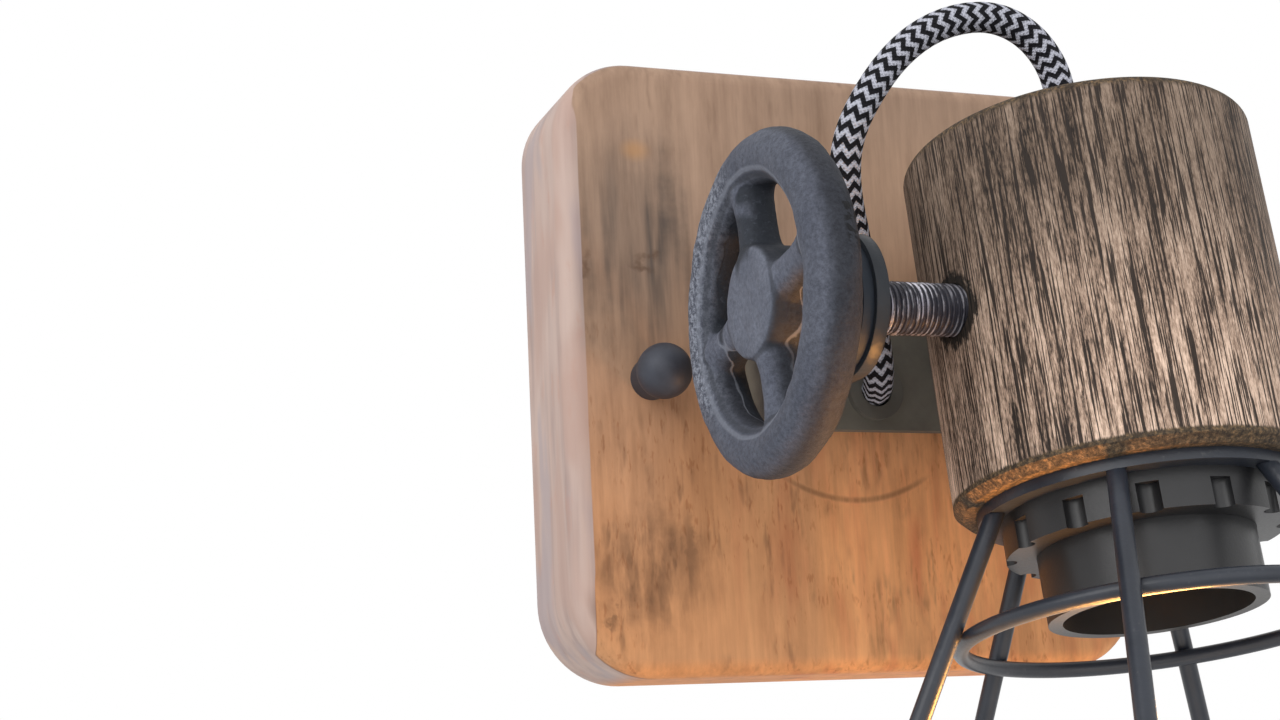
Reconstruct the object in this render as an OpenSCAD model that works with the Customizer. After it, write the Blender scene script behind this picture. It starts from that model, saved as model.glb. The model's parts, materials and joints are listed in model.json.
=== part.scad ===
// Wall lamp: a wooden wall plate, a bent steel arm, and a caged head on a threaded stud.
// A cast handwheel on the stud jams against the arm and locks the head's tilt.
// The origin is the middle of the plate's back, on the wall. The front is towards -Y, and +Z is up.

/* [Wall plate] */
// Width of the wooden plate
plate_w = 125; // [118:1:160]
// Height of the wooden plate
plate_h = 125; // [110:1:160]
// Thickness of the wooden plate
plate_t = 25; // [22:0.5:32]
// Radius of the plate's corners
plate_corner_r = 16.5; // [8:0.5:24]
// Round-over along the front edge
plate_edge_r = 3.5; // [1:0.25:6]
// Height of the pocket in the back
pocket_h = 44; // [40:1:56]
// Depth of the pocket in the back
pocket_d = 14; // [13.5:0.5:17]
// Radius of the pocket's corners
pocket_r = 6; // [3:0.5:10]

/* [Wall fixing] */
// Height of the fixing line above the plate's middle
fixing_z = -4; // [-8:0.5:4]
// Length of the mounting bar past each stud
bar_end = 5; // [3.5:0.5:7]
// Width of the mounting bar
bar_w = 20; // [14:1:24]
// Thickness of the mounting bar
bar_t = 2; // [1.5:0.25:2.5]
// Distance between the two wall screws
slot_spacing = 60; // [52:1:62]
// Length of each wall screw slot, end to end
slot_l = 16; // [8:1:18]
// Width of each wall screw slot
slot_w = 5; // [4:0.5:6]
// Distance between the two studs
stud_spacing = 90; // [84:1:94]
// Diameter of the studs
fixing_d = 4; // [3:0.5:5]
// Diameter of the ball of a cap nut
ball_d = 11; // [10:0.5:14]
// Diameter of the collar of a cap nut
collar_d = 8.5; // [7.5:0.5:9.5]
// Height of the ball's middle above the plate
ball_h = 8; // [7:0.5:10]

/* [Bracket] */
// Height of the bracket and its pivot above the plate's middle
pivot_z = -1; // [-6:0.5:6]
// Width of the steel strip
strip_w = 26; // [22:1:32]
// Thickness of the steel strip
strip_t = 2.5; // [2:0.25:4]
// Inner radius of the bend
bend_r = 3; // [2:0.5:5]
// Place of the arm's inner face, across the plate
arm_x = -24; // [-28:0.5:-20]
// Reach of the pivot in front of the plate
arm_reach = 51; // [50:0.5:60]
// Place of the base's free end, across the plate
base_end_x = 27; // [24:0.5:36]
// Radius of the base's free corners
base_corner_r = 3; // [1:0.5:6]
// Diameter of the wood screws
wood_screw_d = 4; // [3:0.5:5]
// Length of the wood screws under the head
wood_screw_l = 12; // [8:1:13]

/* [Pivot and handwheel] */
// Diameter of the threaded stud
stud_d = 9.8; // [8:0.2:10.4]
// Bare thread between the arm and the cup
stud_gap = 19; // [16:1:28]
// Depth of the stud in the cup
stud_depth = 16; // [10:1:18]
// Thickness of the washer
washer_t = 2; // [1:0.25:3]
// Outer diameter of the washer
washer_d = 24; // [18:1:26]
// Diameter of the handwheel over its rim
wheel_d = 62; // [56:1:72]
// Thickness of the rim
rim_d = 9.8; // [8:0.2:12]
// Diameter of the hub's face
hub_d = 20.6; // [18:0.2:24]
// Height of the hub's face above the rim's middle
hub_front = 4.25; // [3.5:0.25:8]
// Length of the boss behind the rim's middle
hub_back = 12.4; // [8:0.2:20]
// Diameter of the boss at its end
boss_d = 17; // [15:0.5:20]
// Number of spokes
spokes = 4; // [3:1:5]
// Thickness of a spoke at its waist
spoke_waist_d = 7.2; // [6:0.2:9]
// Thickness of a spoke at its ends
spoke_end_d = 9.4; // [9.2:0.1:9.7]
// Turn of the spokes
spoke_turn = 3.5; // [0:0.5:90]

/* [Cup] */
// Tilt of the head at rest
rest_tilt = 8.5; // [2:0.5:40]
// Diameter of the cup
cup_d = 66; // [56:1:68]
// Length of the cup
cup_l = 69; // [66:1:80]
// Height of the stud above the cup's lower end
stud_h = 34.5; // [33:0.5:40]
// Distance of the stud in front of the cup's axis
stud_offset = 2; // [0:0.5:4]
// Round-over of the cup's upper edge
cup_top_r = 2; // [0.5:0.25:4]
// Bevel of the cup's lower edge
cup_bevel = 1.5; // [0.5:0.25:3]
// Diameter of the bore for the lamp holder
bore_d = 41; // [40.5:0.5:46]
// Depth of the bore for the lamp holder
bore_depth = 26; // [25:0.5:27]

/* [Lamp holder] */
// Outer diameter of the lamp holder
holder_d = 39; // [37:0.5:40]
// Length of the holder's cap
cap_l = 12.5; // [11:0.5:14]
// Length of the holder's shell
shell_l = 34; // [32:1:42]
// Wall of the holder's cap and shell
holder_wall = 2.6; // [1.6:0.2:3]
// Inner diameter of the screw shell
socket_d = 26.4; // [26:0.1:27]
// Length of the screw shell
socket_l = 21; // [16:1:22]
// Wall of the screw shell
socket_wall = 0.6; // [0.4:0.1:1]
// Thickness of the contact base
contact_base_t = 8; // [6:0.5:9]
// Outer diameter of the nipple tube
nipple_d = 9.9; // [8:0.1:10]
// Bore of the nipple tube
nipple_bore = 7.6; // [6:0.2:7.8]
// Outer diameter of the shade ring
shade_ring_d = 50; // [46:1:53]
// Height of the shade ring
shade_ring_h = 7; // [5:0.5:9]
// Number of finger notches in the shade ring
shade_ring_notches = 12; // [6:1:16]

/* [Cage] */
// Diameter of the flange on the cup's lower end
flange_d = 58; // [56:0.5:62]
// Thickness of the flange
flange_t = 2; // [1.5:0.25:3]
// Number of legs
legs = 6; // [5:1:8]
// Turn of the legs round the cup's axis
leg_turn = 50; // [0:1:72]
// Diameter of the leg wire
leg_d = 3.5; // [3:0.1:4.5]
// Radius of the legs at the cup's lower end
leg_top_r = 26.4; // [26:0.1:27.4]
// Slope of the legs, outward per length down
leg_slope = 0.54; // [0.45:0.01:0.6]
// Height of the cage below the cup
cage_h = 80; // [70:1:100]
// Diameter of the ring wire
ring_d = 3; // [2.5:0.1:4]
// Depth of the middle ring below the cup
mid_ring_depth = 24; // [20:1:40]
// Height of the bottom ring above the legs' ends
bottom_ring_lift = 3; // [2:0.5:6]

/* [Cord] */
// Diameter of the textile cord
cord_d = 6; // [5:0.25:6.5]
// Diameter of one conductor
core_d = 1.8; // [1.4:0.1:2]
// Place of the cord's hole, across the plate
cord_x = 2.5; // [0:0.5:6]
// Place of the cord's hole, above the plate's middle
cord_z = -6; // [-7:0.5:-3]
// Outer diameter of the bush's sleeve
bush_d = 9; // [8:0.5:10]
// Diameter of the bush's flange
bush_flange_d = 12; // [11:0.5:13]
// Thickness of the bush's flange
bush_flange_t = 1.5; // [1:0.25:2.5]
// Height of the gland on the cup
gland_h = 8; // [7:0.5:10]
// Diameter of the gland
gland_d = 15; // [13:0.5:18]

/* [Hidden] */
$fn = 64;

// Clearances
thread_gap = 0.05;
fit_gap = 0.1;
seat_gap = 0.05;
loose_gap = 0.3;
cut = 1;

// Wall plate and wall fixing
bar_l = stud_spacing + 2 * bar_end;
bar_corner_r = 4;
bar_room = 3;
pocket_l = bar_l + 2 * bar_room;
fixing_r = fixing_d / 2;
stud_in_ball = 0.5;
stud_end = plate_t + ball_h + stud_in_ball;
nut_bore_end_gap = 1;
nut_bore_depth = ball_h + stud_in_ball + nut_bore_end_gap;

// Terminal block, on the pocket's floor
block_room = 1.5;
block = [18, 12, pocket_d - bar_t - block_room];
block_at = [-15, 8];
wire_pitch = 7;
block_screw_d = 3;
block_screw_head_t = 1.8;
block_screw_sink = 2;
block_screw_grip = 5;
block_screw_hold = 6;
block_screw_l = block[2] - block_screw_sink + block_screw_grip;
terminal_d = 3.4;
terminal_screw_l = 2;
terminal_slot = 0.8;
terminal_depth = 2.5;
wire_room = 1;
wire_hole_d = core_d + wire_room;
wire_y = -(pocket_d - block[2] / 2);
earth_x = 13;
earth_d = 4;
earth_head_t = 2.4;

// Bracket
pivot_y = -(plate_t + arm_reach);
strip_front = plate_t + strip_t;
bend_x = arm_x + bend_r;
bend_y = -(strip_front + bend_r);
bracket_screw_inset = [8, 7];
bracket_screw_x = [bend_x + bracket_screw_inset[0], base_end_x - bracket_screw_inset[1]];
screw_head_r = wood_screw_d;
screw_head_t = 0.65 * wood_screw_d;
drive_slot_w = 1;
drive_slot_t = 1.2;

// Pivot and handwheel, measured along X
stud_r = stud_d / 2;
washer_x = arm_x - strip_t - seat_gap - washer_t;
wheel_x = washer_x - seat_gap - hub_back;
rim_r = (wheel_d - rim_d) / 2;
stud_end_x = wheel_x;
stud_chamfer = 1;
hub_bore_end_gap = 1;
hub_bore_depth = hub_back + hub_bore_end_gap;
hub_chamfer = 0.8;
spoke_from = 6;
spoke_end_gap = 1;
spoke_length = rim_r - spoke_from - spoke_end_gap;
spoke_flare = (spoke_end_d - spoke_waist_d) / 2;
spoke_arc_r = (pow(spoke_flare, 2) + pow(spoke_length / 2, 2)) / (2 * spoke_flare);

// Cup and lamp holder, measured along the cup's axis from the pivot
cup_r = cup_d / 2;
cup_x = arm_x + stud_gap + sqrt(pow(cup_r, 2) - pow(stud_offset, 2));
cup_top = cup_l - stud_h;
cup_bottom = -stud_h;
bore_top = cup_bottom + bore_depth;
stud_tip_x = arm_x + stud_gap + stud_depth;
holder_r = holder_d / 2;
cap_room = 1;
cap_top = bore_top - cap_room;
cap_bottom = cap_top - cap_l;
shell_bottom = cap_bottom - shell_l;
cap_neck_wall = 2.5;
cap_neck_d = nipple_d + 2 * cap_neck_wall;
cap_neck_h = 3;
nipple_r = nipple_d / 2;
nipple_top = cup_top + gland_h / 2;
nipple_end = cap_top - cap_neck_h;
contact_sink = 0.5;
contact_top = cap_bottom - contact_sink;
contact_bottom = contact_top - contact_base_t;
socket_r = socket_d / 2;
contact_disc_d = 9;
contact_disc_t = 1;
lead_spread = 1.4;
lead_grip = 3;
notch_d = 4;
notch_from_flange = 2;

// Cage, measured along the cup's axis from the pivot
flange_bottom = cup_bottom - flange_t;
leg_angle = atan(leg_slope);
ring_inset = (leg_d / 2 + ring_d / 2 + seat_gap) / cos(leg_angle);
mid_ring_z = cup_bottom - mid_ring_depth;
cage_end = cup_bottom - cage_h;
bottom_ring_z = cage_end + bottom_ring_lift;

// Cord, from the bush to the gland
cord_r = cord_d / 2;
cord_sides = 10;
core_sides = 6;
tube_side = [1, 0.6, 0.9];
cord_route = [
    [2.5, -17, -6], [2.5, -27, -6], [1.5, -31.5, -6], [-0.5, -36, -5], [-2, -39.5, -3.5],
    [-3.5, -42, -0.5], [-5, -44, 3], [-6.5, -45.5, 7], [-8, -47, 11.5], [-9, -49, 16],
    [-10.5, -51, 20.5], [-12, -53, 25], [-13, -55.5, 30], [-13, -58, 35.5], [-11, -60, 41],
    [-7.5, -61.5, 47], [-3, -62.5, 53], [2.5, -63.5, 58], [8.5, -64, 61], [14.5, -64.5, 62],
    [20, -65, 60.5], [24.5, -65.5, 57], [27.5, -66, 51.5], [28, -67, 45], [28, -68.5, 35]
];
core_routes = [
    [[2, -16, -5], [2, -12, -5], [1, -9, -3], [-1, -8.8, 1], [-3.5, -8.7, 4], [-7, -8.7, 4.5]],
    [[4, -16, -5], [4, -12, -5], [4, -9.5, -2], [3, -8.9, 4], [0, -8.7, 9.5], [-7, -8.7, 11.5]],
    [[3, -16, -7.5], [3, -12, -7.5], [5, -8, -7.5], [8, -5.8, -7], [11, -5.4, -6], [13, -5.4, -4]]
];

// Shared shapes

module rounded_rectangle(w, h, r) {
    square([w - 2 * r, h], center = true);
    square([w, h - 2 * r], center = true);
    for (x = [-1, 1], y = [-1, 1])
        translate([x * (w / 2 - r), y * (h / 2 - r)])
            circle(r);
}

module slot(l, w) {
    square([l - w, w], center = true);
    for (side = [-1, 1])
        translate([side * (l - w) / 2, 0])
            circle(w / 2);
}

// Stands a shape on the wall: x stays, y becomes height, z points out of the wall
module on_wall(depth = 0) {
    translate([0, -depth, 0])
        rotate([90, 0, 0])
            children();
}

// Turns a shape's z onto +X, or onto -X when outward is true
module along_x(x, outward = false) {
    translate([x, 0, 0])
        rotate([0, outward ? -90 : 90, 0])
            children();
}

// Puts a shape that is drawn about the pivot at its place and rest tilt
module head() {
    translate([0, pivot_y, pivot_z])
        rotate([-rest_tilt, 0, 0])
            children();
}

// Puts a shape that is drawn about the cup's axis into the head
module cup_axis() {
    head()
        translate([cup_x, stud_offset, 0])
            children();
}

module pipe(r, bore_r, from, to) {
    translate([0, 0, from])
        difference() {
            cylinder(r = r, h = to - from);
            translate([0, 0, -cut])
                cylinder(r = bore_r, h = to - from + 2 * cut);
        }
}

// Pan head screw, its seat at z = 0 and its shank towards -z
module pan_screw(d, l, head_r, head_t) {
    difference() {
        union() {
            cylinder(r = head_r, h = head_t);
            translate([0, 0, -l])
                cylinder(r = d / 2, h = l);
        }
        translate([-head_r - cut, -drive_slot_w / 2, head_t - drive_slot_t])
            cube([2 * (head_r + cut), drive_slot_w, drive_slot_t + cut]);
    }
}

function unit(v) = v / norm(v);

function tangent(route, i) = unit(route[min(i + 1, len(route) - 1)] - route[max(i - 1, 0)]);

function ring_points(route, i, r, sides) =
    let (along = tangent(route, i), u = unit(cross(along, tube_side)), v = cross(along, u))
    [for (k = [0 : sides - 1]) route[i] + r * (cos(360 * k / sides) * u + sin(360 * k / sides) * v)];

// Round tube along a route
module tube(route, r, sides) {
    last = (len(route) - 1) * sides;
    points = [for (i = [0 : len(route) - 1]) each ring_points(route, i, r, sides)];
    walls = [
        for (i = [0 : len(route) - 2], k = [0 : sides - 1])
            let (a = i * sides + k, b = i * sides + (k + 1) % sides)
            each [[a, a + sides, b + sides], [a, b + sides, b]]
    ];
    near_end = [for (k = [1 : sides - 2]) [0, k, k + 1]];
    far_end = [for (k = [1 : sides - 2]) [last, last + k + 1, last + k]];
    polyhedron(points, concat(walls, near_end, far_end));
}

// Wall plate

module plate_section() {
    square([plate_corner_r, plate_t - plate_edge_r]);
    square([plate_corner_r - plate_edge_r, plate_t]);
    translate([plate_corner_r - plate_edge_r, plate_t - plate_edge_r])
        circle(plate_edge_r);
}

module plate_side(reach, l) {
    translate([reach - plate_corner_r, 0, 0])
        rotate([90, 0, 0])
            linear_extrude(l - 2 * plate_corner_r, center = true)
                plate_section();
}

module plate_blank() {
    core = [plate_w - 2 * plate_corner_r, plate_h - 2 * plate_corner_r];
    translate([-core[0] / 2, -core[1] / 2, 0])
        cube([core[0], core[1], plate_t]);
    for (turn = [0, 180]) {
        rotate(turn)
            plate_side(plate_w / 2, plate_h);
        rotate(turn + 90)
            plate_side(plate_h / 2, plate_w);
        rotate(turn)
            translate([core[0] / 2, core[1] / 2, 0])
                rotate_extrude(angle = 90)
                    plate_section();
        rotate(turn)
            translate([-core[0] / 2, core[1] / 2, 0])
                rotate(90)
                    rotate_extrude(angle = 90)
                        plate_section();
    }
}

module wall_plate() {
    color("burlywood")
        on_wall()
            difference() {
                plate_blank();
                translate([0, fixing_z, -cut])
                    linear_extrude(pocket_d + cut)
                        rounded_rectangle(pocket_l, pocket_h, pocket_r);
                for (x = [-1, 1] * stud_spacing / 2)
                    translate([x, fixing_z, 0])
                        cylinder(r = fixing_r + loose_gap, h = plate_t + cut);
                translate([cord_x, cord_z, 0])
                    cylinder(r = bush_d / 2 + seat_gap, h = plate_t + cut);
                for (x = bracket_screw_x)
                    translate([x, pivot_z, strip_front - wood_screw_l])
                        cylinder(r = wood_screw_d / 2 + seat_gap, h = wood_screw_l);
                translate([block_at[0], block_at[1], pocket_d - cut])
                    cylinder(r = block_screw_d / 2 + seat_gap, h = block_screw_hold + cut);
            }
}

// Wall fixing

module mounting_bar() {
    color("silver")
        on_wall()
            linear_extrude(bar_t)
                difference() {
                    translate([0, fixing_z])
                        rounded_rectangle(bar_l, bar_w, bar_corner_r);
                    for (side = [-1, 1]) {
                        translate([side * slot_spacing / 2, fixing_z])
                            slot(slot_l, slot_w);
                        translate([side * stud_spacing / 2, fixing_z])
                            circle(fixing_r + seat_gap);
                    }
                    translate([earth_x, fixing_z])
                        circle(earth_d / 2 + seat_gap);
                }
}

module mounting_studs() {
    color("silver")
        for (side = [-1, 1])
            translate([side * stud_spacing / 2, 0, fixing_z])
                on_wall()
                    cylinder(r = fixing_r, h = stud_end);
}

module cap_nut() {
    difference() {
        rotate_extrude() {
            square([collar_d / 2, ball_h]);
            translate([0, ball_h])
                intersection() {
                    circle(ball_d / 2);
                    translate([0, -ball_d])
                        square(2 * ball_d);
                }
        }
        translate([0, 0, -cut])
            cylinder(r = fixing_r + thread_gap, h = nut_bore_depth + cut);
    }
}

module cap_nuts() {
    color("dimgray")
        for (side = [-1, 1])
            translate([side * stud_spacing / 2, 0, fixing_z])
                on_wall(plate_t)
                    cap_nut();
}

// Wiring in the pocket

module at_terminals() {
    for (x = [-1, 1], y = [-1, 1])
        translate([block_at[0] + x * block[0] / 4, block_at[1] + y * wire_pitch / 2, 0])
            children();
}

module terminal_block() {
    color("white")
        on_wall()
            difference() {
                translate([block_at[0] - block[0] / 2, block_at[1] - block[1] / 2, pocket_d - block[2]])
                    cube(block);
                for (side = [-1, 1])
                    translate([block_at[0], block_at[1] + side * wire_pitch / 2, -wire_y])
                        rotate([0, 90, 0])
                            cylinder(r = wire_hole_d / 2, h = block[0] + 2 * cut, center = true);
                at_terminals()
                    translate([0, 0, pocket_d - block[2] - cut])
                        cylinder(r = terminal_d / 2 + seat_gap, h = terminal_depth + cut);
                translate([block_at[0], block_at[1], 0])
                    cylinder(r = block_screw_d / 2 + seat_gap, h = plate_t);
                translate([block_at[0], block_at[1], 0])
                    cylinder(r = block_screw_d + seat_gap, h = pocket_d - block[2] + block_screw_sink);
            }
}

module terminal_screws() {
    color("gold")
        on_wall()
            at_terminals()
                translate([0, 0, pocket_d - block[2] + terminal_depth - terminal_screw_l])
                    difference() {
                        cylinder(r = terminal_d / 2, h = terminal_screw_l);
                        translate([-terminal_d, -terminal_slot / 2, -cut])
                            cube([2 * terminal_d, terminal_slot, terminal_slot + cut]);
                    }
}

module block_screw() {
    color("silver")
        on_wall()
            translate([block_at[0], block_at[1], pocket_d - block[2] + block_screw_sink])
                rotate([180, 0, 0])
                    pan_screw(block_screw_d, block_screw_l, block_screw_d, block_screw_head_t);
}

module earth_screw() {
    color("gold")
        on_wall()
            translate([earth_x, fixing_z, bar_t])
                pan_screw(earth_d, bar_t - seat_gap, earth_d, earth_head_t);
}

module core_wires() {
    color("sienna")
        for (route = core_routes)
            tube(route, core_d / 2, core_sides);
}

// Bracket

module bracket_base() {
    l = base_end_x - bend_x;
    translate([bend_x, pivot_z - strip_w / 2]) {
        square([l - base_corner_r, strip_w]);
        translate([0, base_corner_r])
            square([l, strip_w - 2 * base_corner_r]);
        for (y = [base_corner_r, strip_w - base_corner_r])
            translate([l - base_corner_r, y])
                circle(base_corner_r);
    }
}

module bracket_bend() {
    translate([bend_x, bend_y, pivot_z - strip_w / 2])
        rotate(90)
            rotate_extrude(angle = 90)
                translate([bend_r, 0])
                    square([strip_t, strip_w]);
}

module bracket_arm() {
    translate([arm_x - strip_t, 0, 0])
        rotate([90, 0, 90])
            linear_extrude(strip_t) {
                translate([pivot_y, pivot_z - strip_w / 2])
                    square([bend_y - pivot_y, strip_w]);
                translate([pivot_y, pivot_z])
                    circle(strip_w / 2);
            }
}

module arm_bracket() {
    color("dimgray")
        difference() {
            union() {
                on_wall(plate_t)
                    linear_extrude(strip_t)
                        bracket_base();
                bracket_bend();
                bracket_arm();
            }
            translate([arm_x - strip_t - cut, pivot_y, pivot_z])
                rotate([0, 90, 0])
                    cylinder(r = stud_r + thread_gap, h = strip_t + 2 * cut);
            on_wall(plate_t - cut) {
                translate([cord_x, cord_z, 0])
                    cylinder(r = bush_d / 2 + seat_gap, h = strip_t + 2 * cut);
                for (x = bracket_screw_x)
                    translate([x, pivot_z, 0])
                        cylinder(r = wood_screw_d / 2 + fit_gap, h = strip_t + 2 * cut);
            }
        }
}

module bracket_screws() {
    color("dimgray")
        for (x = bracket_screw_x)
            translate([x, 0, pivot_z])
                on_wall(strip_front)
                    pan_screw(wood_screw_d, wood_screw_l, screw_head_r, screw_head_t);
}

// Cord and its bush

module cord_bush() {
    color("black")
        translate([cord_x, 0, cord_z])
            on_wall() {
                pipe(bush_d / 2, cord_r + loose_gap, pocket_d, strip_front);
                pipe(bush_flange_d / 2, cord_r + loose_gap, strip_front, strip_front + bush_flange_t);
            }
}

module cord() {
    color("gray")
        tube(cord_route, cord_r, cord_sides);
}

// Cup and stud

module cup_section() {
    difference() {
        translate([0, cup_bottom]) {
            translate([0, cup_bevel])
                square([cup_r, cup_l - cup_bevel - cup_top_r]);
            square([cup_r - cup_top_r, cup_l]);
            translate([cup_r - cup_top_r, cup_l - cup_top_r])
                circle(cup_top_r);
            polygon([[0, 0], [cup_r - cup_bevel, 0], [cup_r, cup_bevel], [0, cup_bevel]]);
        }
        translate([0, cup_bottom - cut])
            square([bore_d / 2, bore_depth + cut]);
        translate([0, cup_bottom])
            square([nipple_r + fit_gap, cup_l + cut]);
    }
}

module socket_cup() {
    color("rosybrown")
        difference() {
            cup_axis()
                rotate_extrude()
                    cup_section();
            head()
                along_x(arm_x)
                    cylinder(r = stud_r + thread_gap, h = stud_gap + stud_depth);
        }
}

module pivot_stud() {
    l = stud_tip_x - stud_end_x;
    color("slategray")
        head()
            along_x(stud_end_x) {
                cylinder(r1 = stud_r - stud_chamfer, r2 = stud_r, h = stud_chamfer);
                translate([0, 0, stud_chamfer])
                    cylinder(r = stud_r, h = l - 2 * stud_chamfer);
                translate([0, 0, l - stud_chamfer])
                    cylinder(r1 = stud_r, r2 = stud_r - stud_chamfer, h = stud_chamfer);
            }
}

module cord_gland() {
    color("black")
        cup_axis() {
            pipe(gland_d / 2, nipple_r + thread_gap, cup_top, nipple_top + seat_gap);
            pipe(gland_d / 2, cord_r + loose_gap, nipple_top + seat_gap, cup_top + gland_h - 1);
            translate([0, 0, cup_top + gland_h - 1])
                difference() {
                    cylinder(r1 = gland_d / 2, r2 = gland_d / 2 - 1, h = 1);
                    translate([0, 0, -cut])
                        cylinder(r = cord_r + loose_gap, h = 1 + 2 * cut);
                }
        }
}

module nipple_tube() {
    color("silver")
        cup_axis()
            pipe(nipple_r, nipple_bore / 2, nipple_end, nipple_top);
}

// Lamp holder

module holder_cap() {
    color("black")
        cup_axis() {
            pipe(cap_neck_d / 2, nipple_r + thread_gap, cap_top - cap_neck_h, cap_top);
            translate([0, 0, cap_top - cap_neck_h - holder_wall])
                difference() {
                    cylinder(r1 = holder_r, r2 = holder_r - holder_wall, h = holder_wall);
                    translate([0, 0, -cut])
                        cylinder(r = nipple_bore / 2, h = holder_wall + 2 * cut);
                }
            pipe(holder_r, holder_r - holder_wall, cap_bottom, cap_top - cap_neck_h - holder_wall);
        }
}

module holder_shell() {
    color("black")
        cup_axis()
            pipe(holder_r, holder_r - holder_wall, shell_bottom, cap_bottom);
}

module contact_base() {
    color("white")
        cup_axis()
            difference() {
                translate([0, 0, contact_bottom])
                    cylinder(r = holder_r - holder_wall - seat_gap, h = contact_base_t);
                for (side = [-1, 1])
                    translate([side * lead_spread, 0, contact_top - lead_grip])
                        cylinder(r = core_d / 2 + seat_gap, h = lead_grip + cut);
                translate([0, 0, contact_bottom - cut])
                    cylinder(r = contact_disc_d / 2 + seat_gap, h = contact_disc_t + cut);
            }
}

module screw_shell() {
    color("gold")
        cup_axis()
            pipe(socket_r + socket_wall, socket_r, contact_bottom - socket_l, contact_bottom);
}

module centre_contact() {
    color("gold")
        cup_axis()
            translate([0, 0, contact_bottom])
                cylinder(r = contact_disc_d / 2, h = contact_disc_t);
}

module holder_leads() {
    color("sienna")
        cup_axis()
            for (side = [-1, 1])
                translate([side * lead_spread, 0, contact_top - lead_grip])
                    cylinder(r = core_d / 2, h = nipple_top - contact_top + lead_grip - cord_d);
}

module shade_ring() {
    color("black")
        cup_axis()
            difference() {
                pipe(shade_ring_d / 2, holder_r + thread_gap, flange_bottom - shade_ring_h, flange_bottom);
                for (k = [0 : shade_ring_notches - 1])
                    rotate(360 * k / shade_ring_notches)
                        translate([shade_ring_d / 2, 0, flange_bottom - shade_ring_h - cut])
                            cylinder(r = notch_d / 2, h = shade_ring_h - notch_from_flange + cut, $fn = 24);
            }
}

// Cage

module cage_flange() {
    color("dimgray")
        cup_axis()
            pipe(flange_d / 2, holder_r + fit_gap, flange_bottom, cup_bottom);
}

module cage_leg() {
    length = cage_h / cos(leg_angle);
    intersection() {
        translate([leg_top_r, 0, cup_bottom])
            rotate([0, 180 - leg_angle, 0])
                translate([0, 0, -leg_d])
                    cylinder(r = leg_d / 2, h = length + 2 * leg_d);
        translate([0, -leg_d, cage_end])
            cube([2 * cage_h, 2 * leg_d, flange_bottom - seat_gap - cage_end]);
    }
}

module cage_legs() {
    color("dimgray")
        cup_axis()
            for (k = [0 : legs - 1])
                rotate(leg_turn + 360 * k / legs)
                    cage_leg();
}

function ring_r(z) = leg_top_r + leg_slope * (cup_bottom - z) - ring_inset;

module cage_ring(z) {
    color("dimgray")
        cup_axis()
            translate([0, 0, z])
                rotate_extrude()
                    translate([ring_r(z), 0])
                        circle(ring_d / 2);
}

module cage_mid_ring() {
    cage_ring(mid_ring_z);
}

module cage_bottom_ring() {
    cage_ring(bottom_ring_z);
}

// Clamp

module wheel_washer() {
    color("black")
        head()
            along_x(washer_x)
                pipe(washer_d / 2, stud_r + loose_gap, 0, washer_t);
}

// Round bar with a waist, flared into hub and rim
module spoke() {
    translate([spoke_from, 0, 0])
        rotate([0, 90, 0])
            rotate_extrude()
                difference() {
                    square([spoke_end_d / 2, spoke_length]);
                    translate([spoke_waist_d / 2 + spoke_arc_r, spoke_length / 2])
                        circle(spoke_arc_r, $fn = 360);
                }
}

module hub_section() {
    polygon([
        [0, -hub_back], [boss_d / 2, -hub_back], [hub_d / 2, -rim_d / 2],
        [hub_d / 2, hub_front - hub_chamfer], [hub_d / 2 - hub_chamfer, hub_front], [0, hub_front]
    ]);
}

module handwheel() {
    color("slategray")
        head()
            along_x(wheel_x, outward = true)
                difference() {
                    union() {
                        rotate_extrude()
                            translate([rim_r, 0])
                                circle(rim_d / 2);
                        rotate_extrude()
                            hub_section();
                        for (k = [0 : spokes - 1])
                            rotate(spoke_turn + 360 * k / spokes)
                                spoke();
                    }
                    translate([0, 0, -hub_back - cut])
                        cylinder(r = stud_r + thread_gap, h = hub_bore_depth + cut);
                }
}

wall_plate();
mounting_bar();
mounting_studs();
cap_nuts();
terminal_block();
terminal_screws();
block_screw();
earth_screw();
core_wires();
arm_bracket();
bracket_screws();
cord_bush();
cord();
socket_cup();
pivot_stud();
cord_gland();
nipple_tube();
holder_cap();
holder_shell();
contact_base();
screw_shell();
centre_contact();
holder_leads();
shade_ring();
cage_flange();
cage_legs();
cage_mid_ring();
cage_bottom_ring();
wheel_washer();
handwheel();
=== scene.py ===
import json
import math

import bpy
from bpy.props import FloatProperty, FloatVectorProperty, IntProperty, PointerProperty
from mathutils import Matrix, Vector, noise


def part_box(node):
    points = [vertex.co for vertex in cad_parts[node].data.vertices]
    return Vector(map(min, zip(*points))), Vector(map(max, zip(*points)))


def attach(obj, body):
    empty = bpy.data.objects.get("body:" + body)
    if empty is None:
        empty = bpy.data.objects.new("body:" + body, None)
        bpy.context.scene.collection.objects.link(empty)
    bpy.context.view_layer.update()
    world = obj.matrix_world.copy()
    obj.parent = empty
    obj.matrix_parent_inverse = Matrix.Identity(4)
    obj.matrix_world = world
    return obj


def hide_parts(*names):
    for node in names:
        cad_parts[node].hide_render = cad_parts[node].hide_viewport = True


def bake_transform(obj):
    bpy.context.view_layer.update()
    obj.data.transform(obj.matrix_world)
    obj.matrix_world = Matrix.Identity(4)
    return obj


bl_info = {
    "name": "Wall lamp with handwheel and caged head",
    "version": (1, 0, 0),
    "blender": (4, 5, 0),
    "location": "3D View > Sidebar > Wall lamp",
    "description": "Finishes, cord, threads, cast wheel and studio of the wall lamp",
    "category": "Object",
}

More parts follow.
